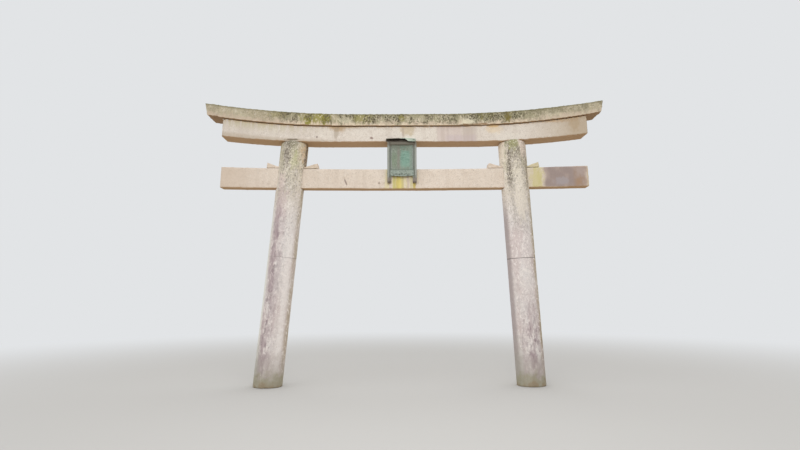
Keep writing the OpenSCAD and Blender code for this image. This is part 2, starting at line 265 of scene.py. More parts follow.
def start_paint(name):
    """A material, its node tree, and the place of each point on the stone."""
    made = bpy.data.materials.new(name)
    made.use_nodes = True
    made.node_tree.nodes.clear()
    return made, made.node_tree, node(made.node_tree, "TexCoord").outputs["Object"]


def noise(tree, place, size, stretch=(1, 1, 1), detail=3, start=0):
    """Noise from 0 to 1 with lumps about size metres across, longer by stretch."""
    scale = [1 / (size * s) for s in stretch]
    moved = node(tree, "Mapping", Vector=place, Scale=scale, Location=(start, start, start))
    return node(tree, "TexNoise", Vector=moved.outputs[0], Scale=1.0, Detail=detail).outputs[0]


def times(tree, *factors):
    """Masks multiplied together."""
    result = factors[0]
    for factor in factors[1:]:
        result = maths(tree, "MULTIPLY", result, factor)
    return result


def scaled(tree, mask, low, high=1.0):
    """A mask that runs from low to high where the given one runs from 0 to 1."""
    made = node(tree, "MapRange", Value=mask)
    made.inputs["To Min"].default_value = low
    made.inputs["To Max"].default_value = high
    return made.outputs["Result"]


def stain(tree, under, tone, *masks):
    """The tone laid over the colour under it where all the masks say. A tone is a colour as
    a screen shows it; under is a tone, or a colour that is already stained."""
    factor, below, above, mixed = 0, 6, 7, 2
    mask = times(tree, *masks)
    made = node(tree, "Mix", {"data_type": "RGBA"})
    made.inputs[above].default_value = linear(*tone)
    if isinstance(under, bpy.types.NodeSocket):
        tree.links.new(under, made.inputs[below])
    else:
        made.inputs[below].default_value = linear(*under)
    tree.links.new(mask, made.inputs[factor])
    return made.outputs[mixed]


def axis_of(tree, vector, letter):
    """One coordinate of a vector."""
    return node(tree, "SeparateXYZ", Vector=vector).outputs[letter]


def between(tree, value, low, high, soft):
    """A mask that is 1 from low to high and fades out over soft on both sides."""
    return times(tree, band(tree, value, low - soft, low + soft),
                 band(tree, value, high + soft, high - soft))


def spot(tree, place, centre, size, ragged=0.5, grain=0.05, turn=0.0):
    """A mask that is 1 in an ellipsoid of those half sizes, turned by so many degrees as
    seen from the front, and that fades out over a ragged edge."""
    fade_in, fade_out = 0.45, 0.25
    inner = node(tree, "Mapping", {"vector_type": "TEXTURE"}, Vector=place, Location=centre,
                 Rotation=(0, math.radians(turn), 0), Scale=size)
    reach = node(tree, "VectorMath", {"operation": "LENGTH"}, Vector=inner.outputs[0])
    rough = maths(tree, "MULTIPLY_ADD", noise(tree, place, grain, (1, 1, 2)), 2 * ragged,
                  reach.outputs["Value"])
    return band(tree, rough, 1 + ragged + fade_out, 1 + ragged - fade_in)


def granite(tree, place, pale, deep, mottle):
    """Granite's own colour: slow drifts from pale to deep, mottles, and mineral grains."""
    colour = stain(tree, pale, deep, band(tree, noise(tree, place, 0.45), 0.35, 0.68))
    colour = stain(tree, colour, mottle,
                   band(tree, noise(tree, place, 0.06, detail=5), 0.5, 0.7), 0.5)
    chalky = noise(tree, place, 0.045, detail=4, start=7)
    colour = stain(tree, colour, (240, 234, 226), band(tree, chalky, 0.56, 0.7), 0.3)
    grains = noise(tree, place, 0.009, detail=1)
    colour = stain(tree, colour, (122, 112, 104), band(tree, grains, 0.62, 0.7), 0.5)
    return stain(tree, colour, (244, 238, 230), band(tree, grains, 0.4, 0.3), 0.5)


def finish_surface(tree, place, colour, tooling, crust=None, shine=0.25, grain=0.02):
    """The surface: dull, pitted by tool and weather, with any crust standing proud."""
    pits = noise(tree, place, grain, detail=4)
    coarse = noise(tree, place, 4.5 * grain, detail=2)
    height = maths(tree, "MULTIPLY_ADD", coarse, 1.5, pits)
    if crust:
        height = maths(tree, "ADD", height, crust)
    bump = node(tree, "Bump", Strength=tooling, Distance=0.25 * grain, Height=height)
    shader = node(tree, "BsdfPrincipled", Base_Color=colour,
                  Roughness=scaled(tree, pits, 0.95, 0.72), Normal=bump.outputs[0])
    shader.inputs["Specular IOR Level"].default_value = shine
    out = node(tree, "OutputMaterial")
    tree.links.new(shader.outputs[0], out.inputs["Surface"])


pillar_radius = 0.262


def pillar_paint(name, foot, lean, seam, dirt, right_lit, edge_tone, washes, crusts, tints):
    """Paint for one pillar. Its marks lie from one place to another across it, where -1 is
    its left edge and 1 its right edge, and by height in metres: each wash has a top, each
    crust a start and each tint a bottom, a top and a tone. All end with their depth."""
    made, tree, place = start_paint(name)
    upright = node(tree, "Mapping", {"vector_type": "TEXTURE"}, Vector=place,
                   Location=(foot, 0, 0), Rotation=(0, math.radians(lean), 0)).outputs[0]
    across = times(tree, axis_of(tree, upright, "X"), 1 / pillar_radius)
    up = axis_of(tree, place, "Z")
    colour = granite(tree, place, (226, 221, 219), (221, 212, 210), (194, 186, 184))
    colour = stain(tree, colour, (220, 211, 190), band(tree, up, 2.7, 3.9), 0.75)
    drift = band(tree, noise(tree, upright, 0.16, (1, 1, 4), detail=5, start=9), 0.42, 0.62)
    colour = stain(tree, colour, (204, 186, 184), drift, band(tree, up, 3.6, 2.4), 0.45)
    # Painted shade makes the right flank darker and yellower, less so on the pillar lit from the
    # right
    mottled = band(tree, noise(tree, upright, 0.09, (1, 1, 3), detail=5, start=19), 0.35, 0.6)
    flank_shade = scaled(tree, mottled, 0.45)
    colour = stain(tree, colour, (174, 160, 130),
                   band(tree, across, 0.5 + 0.3 * right_lit, 0.95), flank_shade, 1.2 - 0.8 * right_lit)
    flakes = band(tree, noise(tree, upright, 0.034, (1, 1, 1.7), detail=4, start=3), 0.54, 0.62)
    colour = stain(tree, colour, (244, 239, 234), flakes, 0.6)
    # Where rain runs down, it leaves broad soft patches with darker runs in them
    patches = band(tree, noise(tree, upright, 0.14, (1, 1, 2.2), detail=6), 0.36, 0.58)
    runs = band(tree, noise(tree, upright, 0.05, (1, 1, 2.4), detail=5, start=6), 0.50, 0.64)
    for left, right, top, depth in washes:
        washed = times(tree, between(tree, across, left, right, 0.12),
                       band(tree, up, top, top - 0.9), depth)
        colour = stain(tree, colour, (166, 148, 153), patches, washed)
        colour = stain(tree, colour, (134, 116, 122), runs, washed, 0.7)
    colour = stain(tree, colour, (238, 228, 226), flakes, 0.3)
    # Along the left edge: a painted highlight on the left pillar, darker purple-grey on the right
    # one
    colour = stain(tree, colour, edge_tone,
                   band(tree, across, -0.70, -0.88), band(tree, up, 3.4, 2.9), 0.75)
    # A painted highlight down the right side of the pillar lit from the right
    colour = stain(tree, colour, (246, 241, 238),
                   between(tree, across, 0.42, 0.78, 0.12), band(tree, up, 3.0, 2.4), right_lit)
    # Pepper all over, more of it higher up, and lichen from green haze to dark crusts
    pepper = band(tree, noise(tree, upright, 0.024, (1, 1, 1.5), detail=3, start=5), 0.56, 0.66)
    peppered = scaled(tree, band(tree, up, 2.2, 3.3), 0.18, 0.55)
    colour = stain(tree, colour, (142, 131, 127), pepper, peppered)
    greenish = band(tree, noise(tree, upright, 0.13, (1, 1, 2), start=2), 0.36, 0.58)
    colour = stain(tree, colour, (184, 180, 148), greenish, band(tree, up, 3.6, 4.3), 0.75)
    crusty = None
    for left, right, start, depth in crusts:
        zone = times(tree, between(tree, across, left, right, 0.09),
                     band(tree, up, start, start + 0.35), depth)
        crusty = maths(tree, "MAXIMUM", zone, crusty) if crusty else zone
    grey = band(tree, noise(tree, upright, 0.06, (1, 1, 3), detail=5, start=8), 0.26, 0.44)
    colour = stain(tree, colour, (152, 142, 132), grey, crusty, 0.8)
    lichen = band(tree, noise(tree, upright, 0.021, (1, 1, 2.2), detail=5), 0.46, 0.55)
    crust = times(tree, lichen, crusty)
    colour = stain(tree, colour, (98, 90, 80), crust, 0.75)
    flecks = band(tree, noise(tree, upright, 0.02, detail=3, start=15), 0.56, 0.64)
    colour = stain(tree, colour, (226, 220, 198), flecks, crusty, 0.8)
    # Noise makes the tints' edges ragged, and half of its sway is added to where they lie,
    # since that is what it adds to a point on average
    across_sway, up_sway = 0.9, 0.6
    ragged_across, ragged_up = [
        maths(tree, "MULTIPLY_ADD",
              noise(tree, upright, 0.07, (1, 1, 2), detail=6, start=14), sway, level)
        for level, sway in ((across, across_sway), (up, up_sway))]
    for left, right, bottom, top, tone, depth in tints:
        sideways = between(tree, ragged_across, left + across_sway / 2, right + across_sway / 2,
                           0.12)
        upwards = between(tree, ragged_up, bottom + up_sway / 2, top + up_sway / 2, 0.08)
        colour = stain(tree, colour, tone, times(tree, sideways, upwards, depth))
    colour = stain(tree, colour, (108, 97, 86), pepper, band(tree, up, 3.2, 3.9), 0.5)
    colour = stain(tree, colour, (243, 236, 220), flecks, band(tree, up, 2.9, 3.8), 0.6)
    # Dirt in the bed joint
    along = axis_of(tree, upright, "Z")
    colour = stain(tree, colour, (92, 82, 74),
                   between(tree, along, seam - 0.004, seam + 0.004, 0.003), dirt)
    # The foot is damp: grey to knee height, green and then brown at the ground
    damp = maths(tree, "MULTIPLY_ADD", noise(tree, place, 0.12, detail=5), 0.5, up)
    colour = stain(tree, colour, (176, 168, 162), band(tree, damp, 1.0, 0.5), 0.6)
    colour = stain(tree, colour, (166, 166, 156),
                   band(tree, damp, 1.3, 0.6), band(tree, across, -0.4, -0.8), 0.5)
    colour = stain(tree, colour, (156, 152, 128), band(tree, damp, 0.58, 0.36), 0.75)
    colour = stain(tree, colour, (150, 130, 104), band(tree, damp, 0.36, 0.24), 0.6)
    finish_surface(tree, place, colour, 0.5, crust=crust)
    return made


pillars = {
    "left": dict(
        foot=-2.448, lean=5.4, seam=2.29, dirt=0.3, right_lit=0.65, edge_tone=(238, 240, 230),
        washes=((-0.68, -0.2, 3.7, 0.7), (-0.72, -0.2, 1.7, 0.42), (-0.5, 0.15, 3.5, 0.4)),
        crusts=((-0.55, 0.0, 3.75, 0.85), (-0.1, 0.4, 4.1, 0.55), (-0.7, 0.6, 3.2, 0.3)),
        tints=((0.10, 0.45, 3.9, 4.16, (192, 192, 146), 0.6),
               (0.42, 0.66, 4.0, 4.4, (208, 194, 170), 0.5),
               (0.66, 0.86, 3.95, 4.36, (206, 174, 132), 0.65),
               # Painted shade down the crown's right edge
               (0.89, 1.6, 3.9, 4.6, (104, 82, 62), 0.95),
               (-0.5, 0.5, 4.36, 4.6, (128, 122, 102), 0.7),
               (-0.75, -0.3, 3.5, 3.8, (222, 202, 198), 0.5),
               (-0.65, 0.05, 2.95, 3.5, (194, 172, 174), 0.4))),
    "right": dict(
        foot=2.232, lean=-3.1, seam=2.25, dirt=0.8, right_lit=0.0, edge_tone=(166, 155, 156),
        washes=((-0.1, 0.5, 1.6, 0.75), (-0.6, 1.0, 1.8, 0.45)),
        crusts=((-0.62, -0.27, 3.35, 0.85), (-0.3, 0.75, 3.85, 0.75), (0.3, 0.8, 3.35, 0.45),
                (-0.5, 0.5, 2.6, 0.3)),
        tints=((-0.18, 0.5, 2.95, 3.85, (240, 231, 216), 0.5),
               # Pale stone, made paler still as a painted highlight where the lintel shades it
               (-1.6, -0.58, 4.0, 4.5, (240, 230, 216), 0.85),
               (0.25, 0.85, 4.12, 4.5, (230, 214, 200), 0.75),
               (-0.5, 0.35, 4.27, 4.6, (156, 156, 106), 0.65)))}
# The edges of the bed joint are worn rounder on the right
for side, arris in (("left", 0.004), ("right", 0.008)):
    pillar = pillars[side]
    paint = pillar_paint(f"{side}_pillar_granite", **pillar)
    lean = math.radians(pillar["lean"])
    axis = Vector((math.sin(lean), 0, math.cos(lean)))
    bed = Vector((pillar["foot"], 0, 0)) + axis * pillar["seam"]
    for part, voxel, outward in (("lower", 0.013, axis), ("upper", 0.010, -axis)):
        joints = [(bed, outward)]
        drum = stone(f"pillar_{side}_{part}_stone", f"pillar_{side}_{part}", voxel, 3, joints)
        wear(drum, 0.003, 0.0018, 0.003)
        saw(drum, joints, arris)
        drum.data.materials.append(paint)


# Tie beam: a long stone between the pillars and a stub outside each, smooth dressed, run
# through the pillars' mortises. Its underside is brown, the right stub purple and orange.
def smooth_paint(name, pale, deep, mottle):
    """Paint of a smooth dressed beam with small pits and faint water streaks, and with it
    a mask of the beam's underside."""
    made, tree, place = start_paint(name)
    colour = granite(tree, place, pale, deep, mottle)
    runs = noise(tree, place, 0.09, (1, 1, 9), detail=3)
    colour = stain(tree, colour, mottle, band(tree, runs, 0.48, 0.75), 0.4)
    pits = band(tree, noise(tree, place, 0.026, detail=2, start=4), 0.70, 0.78)
    colour = stain(tree, colour, (160, 146, 134), pits, 0.5)
    facing = axis_of(tree, node(tree, "NewGeometry").outputs["Normal"], "Z")
    below = band(tree, facing, -0.3, -0.75)
    return made, tree, place, colour, below


def gouge(piece, start, end, half_width, depth):
    """Sinks a groove or a chip along the line from start to end, deepest on the line."""
    group = piece.vertex_groups.new(name="gouge")
    places = np.zeros(len(piece.data.vertices) * 3, np.float32)
    piece.data.vertices.foreach_get("co", places)
    places = places.reshape(-1, 3) - np.array(start)
    run = np.array(end) - np.array(start)
    share = np.clip(places @ run / max(run @ run, 1e-9), 0, 1)
    reach = np.linalg.norm(places - share[:, None] * run, axis=1) / half_width
    steps = 4
    for step in range(steps):
        chosen = np.nonzero(reach < 1 - step / steps)[0]
        roundness = math.sin(math.radians(90 * (step + 1) / steps))
        group.add(chosen.tolist(), roundness, "REPLACE")
    finish_with(piece, "DISPLACE", strength=-depth, mid_level=0.0, vertex_group="gouge")
    piece.vertex_groups.remove(piece.vertex_groups["gouge"])


tie_paint, tree, place, colour, below = smooth_paint(
    "tie_beam_granite", (226, 213, 199), (220, 206, 191), (204, 190, 175))
along = axis_of(tree, place, "X")
up = axis_of(tree, place, "Z")
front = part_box("tie_beam_middle")[0].y
colour = stain(tree, colour, (212, 194, 176), band(tree, along, -2.5, -3.3), 0.6)
# The right stub has a cloudy purple stain, blue-grey and orange in places, and a plain end
cloudy = band(tree, noise(tree, place, 0.16, (1, 1, 1.3), detail=5), 0.34, 0.6)
swaying = maths(tree, "MULTIPLY_ADD",
                noise(tree, place, 0.12, (1, 1, 1.4), detail=4, start=3), 0.2, along)
purple = times(tree, between(tree, swaying, 2.66, 3.43, 0.06), between(tree, up, 3.56, 3.93, 0.02))
colour = stain(tree, colour, (172, 155, 148), purple, 0.9)
colour = stain(tree, colour, (152, 137, 133), purple, cloudy, 0.7)
colour = stain(tree, colour, (172, 164, 166),
               spot(tree, place, (2.87, front, 3.66), (0.14, 0.1, 0.08), 1.0, 0.06), 0.7)
colour = stain(tree, colour, (172, 142, 114),
               purple, between(tree, along, 3.12, 3.34, 0.06), cloudy, 0.8)
colour = stain(tree, colour, (208, 190, 162), band(tree, along, 3.325, 3.36), 0.85)
# Yellow lichen grows beside the right pillar and where the plaque drips
drips = band(tree, noise(tree, place, 0.03, (1, 1, 9), detail=3, start=1), 0.38, 0.55)
colour = stain(tree, colour, (208, 200, 158), between(tree, along, 2.24, 2.52, 0.06), 0.3)
colour = stain(tree, colour, (206, 197, 138),
               spot(tree, place, (2.43, front, 3.72), (0.11, 0.2, 0.24), 1.2, 0.04), 0.6)
colour = stain(tree, colour, (200, 190, 124), between(tree, along, 2.34, 2.52, 0.05), drips, 0.35)
colour = stain(tree, colour, (226, 216, 166), between(tree, along, -0.38, 0.24, 0.04), drips, 0.6)
for x, width, tone, depth in (
        (-0.19, 0.030, (196, 188, 110), 0.75), (-0.13, 0.035, (206, 190, 94), 0.75),
        (-0.085, 0.030, (222, 206, 118), 0.8), (-0.04, 0.022, (196, 184, 104), 0.6),
        (0.06, 0.03, (200, 184, 164), 0.6), (0.12, 0.025, (200, 192, 134), 0.6),
        (0.175, 0.03, (194, 174, 84), 0.8)):
    streak = spot(tree, place, (x, front, 3.62), (width, 0.05, 0.26), 0.6, 0.035)
    colour = stain(tree, colour, tone, streak, depth)
# Dirt in the gouge and in a small hole
colour = stain(tree, colour, (146, 130, 122),
               spot(tree, place, (-1.08, front, 3.65), (0.016, 0.1, 0.07), 0.2, turn=-22), 0.85)
colour = stain(tree, colour, (158, 140, 126),
               spot(tree, place, (-0.47, front, 3.627), (0.02, 0.1, 0.02), 0.3), 0.8)
colour = stain(tree, colour, (206, 172, 136), below, 0.9)
finish_surface(tree, place, colour, 0.35)
for part in ("left", "middle", "right"):
    beam = stone(f"tie_beam_{part}_stone", f"tie_beam_{part}", 0.013, 2)
    wear(beam, 0.004, 0.0015, 0.004)
    if part == "middle":
        # One long gouge in its face, and chips along its upper edge
        gouge(beam, (-1.105, front, 3.71), (-1.055, front, 3.59), 0.02, 0.008)
        upper_edge = 3.895
        for x, size in ((-1.55, 0.03), (-1.18, 0.025), (0.86, 0.02), (1.12, 0.03), (1.3, 0.025)):
            gouge(beam, (x, front, upper_edge), (x + size, front, upper_edge), size, 0.4 * size)
    beam.data.materials.append(tie_paint)


# Wedges: four split granite wedges, driven in from both sides of each pillar over the tie
# beam to lock it. The outer one on the right is yellow with lichen.
wedge_paint, tree, place = start_paint("wedge_granite")
colour = granite(tree, place, (224, 208, 192), (214, 198, 178), (190, 172, 152))
colour = stain(tree, colour, (206, 198, 152),
               spot(tree, place, (2.4, -0.1, 4.0), (0.3, 0.4, 0.2)), 0.55)
finish_surface(tree, place, colour, 0.6)
for part in ("left_outer", "left_inner", "right_inner", "right_outer"):
    wedge = stone(f"wedge_{part}_stone", f"wedge_{part}", 0.006, 3)
    wear(wedge, 0.003, 0.002, 0.005)
    wedge.data.materials.append(wedge_paint)


# Strut: a short square block of granite that stands between the tie beam and the lintel.
# From the front it is hidden by the plaque, which is tied to it.
strut_paint, tree, place = start_paint("strut_granite")
colour = granite(tree, place, (206, 194, 176), (194, 182, 164), (170, 158, 142))
finish_surface(tree, place, colour, 0.5)
strut = stone("strut_stone_block", "strut", 0.009, 3)
wear(strut, 0.004, 0.004, 0.006)
strut.data.materials.append(strut_paint)


# Lower lintel: three smooth dressed stones in a bow, bedded between the lips of the pillars'
# tops. Pinkish cream, with a purple zone, rust drips from the cap's joints and dark knots.
def bowed(tree, place, level, flat, radius):
    """Height of a point above a line that is level near its middle and bows up by a radius
    beyond flat on both sides. All such lines have one middle, a little left of the plaque."""
    middle = -0.11
    off_middle = maths(tree, "ABSOLUTE", maths(tree, "ADD", axis_of(tree, place, "X"), -middle))
    outside = maths(tree, "MAXIMUM", maths(tree, "SUBTRACT", off_middle, flat), 0.0)
    gained = times(tree, outside, outside, 1 / (2 * radius))
    height = maths(tree, "SUBTRACT", axis_of(tree, place, "Z"), gained)
    return maths(tree, "SUBTRACT", height, level)


lintel_paint, tree, place, colour, below = smooth_paint(
    "lintel_granite", (224, 216, 205), (217, 207, 196), (202, 191, 179))
along = axis_of(tree, place, "X")
bed_line = dict(level=4.665, flat=1.0, radius=15.2)
below_bed = bowed(tree, place, **bed_line)
runs = band(tree, noise(tree, place, 0.05, (1, 1, 12), detail=4, start=6), 0.36, 0.62)
# A purple zone right of the middle, with runs down it
for left, right, tone, depth in ((0.60, 1.05, (206, 190, 184), 0.55),
                                 (1.07, 1.31, (198, 186, 176), 0.75)):
    colour = stain(tree, colour, tone, between(tree, along, left, right, 0.03), depth)
lilac = times(tree, between(tree, along, 0.76, 1.30, 0.06), band(tree, below_bed, -0.13, -0.2))
colour = stain(tree, colour, (198, 184, 186), lilac, 0.55)
colour = stain(tree, colour, (188, 172, 162), runs, between(tree, along, 0.6, 1.32, 0.05), 0.4)
drips = band(tree, noise(tree, place, 0.045, (1, 1, 8), detail=3, start=1), 0.4, 0.58)
top_half = band(tree, below_bed, -0.2, -0.02)
colour = stain(tree, colour, (196, 188, 152), drips, top_half, band(tree, along, -1.2, -2.6), 0.6)
# Rust drips, dark knots, a painted shadow line over the left pillar and stains towards the right
# end
lintel_face = -0.21
for x, z, half_width, half_height, tone, depth in (
        (-1.20, 4.66, 0.20, 0.10, (184, 158, 122), 0.8),
        (-1.25, 4.56, 0.05, 0.16, (172, 158, 140), 0.6),
        (0.06, 4.62, 0.14, 0.14, (192, 174, 140), 0.6),
        (-0.03, 4.56, 0.02, 0.10, (178, 160, 150), 0.5),
        (1.64, 4.62, 0.15, 0.10, (226, 200, 156), 0.4),
        (1.62, 4.68, 0.13, 0.04, (222, 184, 116), 0.6),
        (-1.60, 4.469, 0.015, 0.020, (120, 100, 92), 0.85),
        (-0.613, 4.446, 0.026, 0.022, (142, 118, 112), 0.85),
        (-0.585, 4.440, 0.016, 0.014, (132, 106, 100), 0.7),
        # A painted shadow line over the left pillar's lip
        (-2.045, 4.427, 0.14, 0.014, (60, 50, 40), 1.0),
        (3.12, 4.70, 0.10, 0.14, (180, 150, 112), 0.6),
        (2.78, 4.78, 0.45, 0.05, (202, 162, 112), 0.5)):
    patch = spot(tree, place, (x, lintel_face, z), (half_width, 0.1, half_height), 0.7, 0.045)
    colour = stain(tree, colour, tone, patch, depth)
colour = stain(tree, colour, (182, 164, 138), band(tree, along, 2.1, 3.3), 0.75)
colour = stain(tree, colour, (184, 168, 146),
               band(tree, below_bed, -0.22, -0.28), band(tree, along, -0.9, -1.6), 0.5)
colour = stain(tree, colour, (208, 178, 132), band(tree, below_bed, -0.04, -0.01), drips, 0.5)
colour = stain(tree, colour, (204, 172, 138), below, 0.9)
finish_surface(tree, place, colour, 0.35)
low_corner, high_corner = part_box("lintel_middle")
left_joint, right_joint = Vector((low_corner.x, 0, 0)), Vector((high_corner.x, 0, 0))
leftwards, rightwards = Vector((-1, 0, 0)), Vector((1, 0, 0))
for part, joints in (
        ("left", [(left_joint, rightwards)]),
        ("middle", [(left_joint, leftwards), (right_joint, rightwards)]),
        ("right", [(right_joint, leftwards)])):
    lintel = stone(f"lintel_{part}_stone", f"lintel_{part}", 0.012, 1, joints)
    wear(lintel, 0.003, 0.0015, 0.003)
    if part == "left":
        # The corner of its outer end is knocked off
        gouge(lintel, (-3.36, -0.215, 4.50), (-3.345, -0.215, 4.84), 0.055, 0.018)
        gouge(lintel, (-3.345, -0.215, 4.84), (-3.345, 0.1, 4.84), 0.06, 0.02)
    saw(lintel, joints, 0.0005)
    lintel.data.materials.append(lintel_paint)


# Cap: the upswept top course, ridged so that rain runs off it. Moss and black lichen cover
# its middle and stand proud on its top, and its right end is blotched yellowish stone.
def grow(piece, texture, height):
    """Raises moss cushions on whatever faces the sky."""
    group = piece.vertex_groups.new(name="sky")
    normals = np.zeros(len(piece.data.vertices) * 3, np.float32)
    piece.data.vertices.foreach_get("normal", normals)
    group.add(np.nonzero(normals.reshape(-1, 3)[:, 2] > 0.25)[0].tolist(), 1.0, "REPLACE")
    finish_with(piece, "DISPLACE", texture=texture, strength=height, mid_level=0.0,
                direction="Z", vertex_group="sky")


moss_cushions = lumps("moss_cushions", 0.05, depth=3, contrast=2.0, brightness=0.8)
cap_paint, tree, place = start_paint("cap_granite")
colour = granite(tree, place, (200, 190, 164), (188, 176, 150), (168, 156, 134))
along = axis_of(tree, place, "X")
above_bed = bowed(tree, place, **bed_line)
above_edge = bowed(tree, place, level=4.886, flat=0.7, radius=18.8)
facing = axis_of(tree, node(tree, "NewGeometry").outputs["Normal"], "Z")
mossy = scaled(tree, between(tree, along, -2.3, 2.32, 0.3), 0.2)
# A cream band with a scalloped edge runs along the foot of the cap
scallop = maths(tree, "MULTIPLY_ADD",
                noise(tree, place, 0.06, (1, 1, 2), detail=4, start=18), 0.26, above_bed)
colour = stain(tree, colour, (206, 187, 168), band(tree, scallop, 0.24, 0.17), 0.7)
# To the right it is greyer, and its right third has dark blotches, pale dust and pepper
sooted = band(tree, noise(tree, place, 0.2, (2, 1, 1), detail=5, start=2), 0.36, 0.62)
colour = stain(tree, colour, (146, 139, 114),
               sooted, band(tree, above_edge, -0.20, -0.05), band(tree, along, 0.6, 1.4), 0.8)
right_third = band(tree, along, 1.9, 2.5)
blotches = band(tree, noise(tree, place, 0.07, (1.3, 1, 1), detail=5, start=24), 0.50, 0.62)
colour = stain(tree, colour, (138, 130, 106),
               blotches, right_third, band(tree, above_edge, -0.17, -0.06), 0.7)
dusted = band(tree, noise(tree, place, 0.05, (1.2, 1, 1), detail=5, start=26), 0.52, 0.64)
colour = stain(tree, colour, (216, 204, 178), dusted, right_third, 0.45)
peppery = band(tree, noise(tree, place, 0.022, (1, 1, 1.3), detail=4, start=28), 0.56, 0.62)
colour = stain(tree, colour, (96, 88, 70),
               peppery, right_third, band(tree, above_edge, -0.15, -0.03), 0.6)
# Growth reaches down the face in tongues of uneven length
reach = maths(tree, "MULTIPLY_ADD",
              noise(tree, place, 0.1, (1, 1, 5), detail=5, start=4), 0.34, above_edge)
veil = band(tree, noise(tree, place, 0.12, (1.4, 1, 1), detail=5), 0.34, 0.6)
colour = stain(tree, colour, (150, 146, 116), veil, mossy, band(tree, reach, -0.06, 0.04), 0.75)
# Clumps of moss, and one place among them that is bare
cap_face = -0.26
for x, z, half_width, half_height, tone, depth in (
        (-1.60, 4.82, 0.28, 0.12, (150, 143, 76), 0.85),
        (-1.76, 4.80, 0.07, 0.14, (146, 140, 62), 0.85),
        (-1.46, 4.80, 0.10, 0.14, (142, 136, 56), 0.9),
        (-2.3, 4.90, 0.2, 0.08, (150, 142, 92), 0.5),
        (-0.80, 4.81, 0.16, 0.13, (146, 139, 84), 0.8),
        (-0.62, 4.84, 0.07, 0.08, (148, 142, 88), 0.6),
        (-0.06, 4.83, 0.07, 0.08, (138, 130, 66), 0.85),
        (1.18, 4.76, 0.12, 0.10, (206, 199, 176), 0.7),
        (1.40, 4.86, 0.05, 0.09, (128, 121, 70), 0.8),
        (1.56, 4.87, 0.09, 0.08, (134, 127, 78), 0.7),
        (1.88, 4.86, 0.07, 0.15, (124, 111, 58), 0.95)):
    patch = spot(tree, place, (x, cap_face, z), (half_width, 0.3, half_height), 1.3, 0.03)
    colour = stain(tree, colour, tone, patch, depth)
chalk = band(tree, noise(tree, place, 0.035, (1, 1, 1.4), detail=5, start=11), 0.56, 0.62)
colour = stain(tree, colour, (222, 212, 186), chalk, mossy, 0.6)
# Dark specks, spots and stains, except on one bare patch
bare = times(tree, spot(tree, place, (-1.07, cap_face, 4.76), (0.12, 0.3, 0.08), 1.0, 0.04), 0.8)
spots = band(tree, noise(tree, place, 0.036, (1, 1, 1.5), detail=5, start=16), 0.46, 0.58)
stains = band(tree, noise(tree, place, 0.08, (1, 1, 1.5), detail=5, start=21), 0.50, 0.60)
specks = band(tree, noise(tree, place, 0.021, (1, 1, 1.6), detail=4), 0.50, 0.57)
clumps = band(tree, noise(tree, place, 0.15, (1, 1, 1.6), detail=4, start=6), 0.34, 0.54)
speckled = times(tree, mossy, band(tree, reach, -0.10, 0.06), clumps)
colour = stain(tree, colour, (126, 121, 97), spots, speckled, 0.65)
colour = stain(tree, colour, (116, 104, 84), stains, speckled, 0.55)
colour = stain(tree, colour, (206, 199, 174), bare, 0.8)
black = times(tree, specks, speckled, maths(tree, "SUBTRACT", 1.0, bare))
colour = stain(tree, colour, (72, 66, 48), black, 0.85)
colour = stain(tree, colour, (222, 206, 182),
               band(tree, scallop, 0.17, 0.14), mossy, 0.65)
# A pale scar over the chip in the foot, and painted shade in the chip
colour = stain(tree, colour, (224, 216, 192),
               spot(tree, place, (1.15, cap_face, 4.73), (0.13, 0.3, 0.06), 0.8, 0.03), 0.8)
colour = stain(tree, colour, (86, 68, 52),
               spot(tree, place, (1.2, cap_face, 4.672), (0.24, 0.1, 0.018), 0.3), 0.85)
colour = stain(tree, colour, (116, 110, 78), band(tree, above_edge, -0.05, -0.01), 0.55)
# The top is a carpet of moss with dark hollows, yellow tips and bare patches
carpet = times(tree, band(tree, facing, 0.3, 0.8), 0.88)
colour = stain(tree, colour, (116, 110, 72), carpet)
for size, start, low, high, tone, depth in ((0.09, 23, 0.42, 0.60, (84, 82, 50), 0.85),
                                            (0.028, 25, 0.52, 0.64, (160, 153, 92), 0.7),
                                            (0.24, 27, 0.50, 0.58, (178, 169, 146), 0.8),
                                            (0.018, 29, 0.56, 0.64, (66, 60, 44), 0.7)):
    grown = band(tree, noise(tree, place, size, detail=5, start=start), low, high)
    colour = stain(tree, colour, tone, grown, carpet, depth)
colour = stain(tree, colour, (172, 142, 112), band(tree, facing, -0.35, -0.75), 0.9)
finish_surface(tree, place, colour, 0.6, crust=black)
parts = ("tip_left", "left", "middle", "right")
ends = [Vector((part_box(f"cap_{part}")[1].x, 0, 0)) for part in parts[:-1]]
for index, part in enumerate(parts):
    joints = []
    if part != parts[0]:
        joints.append((ends[index - 1], leftwards))
    if part != parts[-1]:
        joints.append((ends[index], rightwards))
    cap = stone(f"cap_{part}_stone", f"cap_{part}", 0.013, 2, joints)
    wear(cap, 0.005, 0.002, 0.005)
    # Drawn in all round, so that the moss has room
    finish_with(cap, "DISPLACE", strength=-0.0015, mid_level=0.0)
    grow(cap, moss_cushions, 0.007)
    if part == "right":
        # A long chip out of its lower edge
        gouge(cap, (1.0, cap_face, 4.665), (1.5, cap_face, 4.68), 0.03, 0.018)
    saw(cap, joints, 0.003)
    cap.data.materials.append(cap_paint)


# Plaque: a plain bronze sheet in a frame of four boards that splay towards the front, under
# an arched hood of sheet whose front is torn off on the left. All has a grey-green patina.
def patina(name, pale, deep):
    """Old bronze: dull grey-green, streaked by rain, brown where it has worn."""
    made, tree, place = start_paint(name)
    drift = band(tree, noise(tree, place, 0.09, (1, 1, 3), detail=4), 0.36, 0.64)
    colour = stain(tree, pale, deep, drift)
    chalk = band(tree, noise(tree, place, 0.018, (1, 1, 2), detail=4, start=2), 0.56, 0.66)
    colour = stain(tree, colour, (176, 188, 174), chalk, 0.45)
    grime = band(tree, noise(tree, place, 0.03, (1, 1, 1.5), detail=5, start=4), 0.58, 0.68)
    return made, tree, place, stain(tree, colour, (84, 82, 72), grime, 0.6)


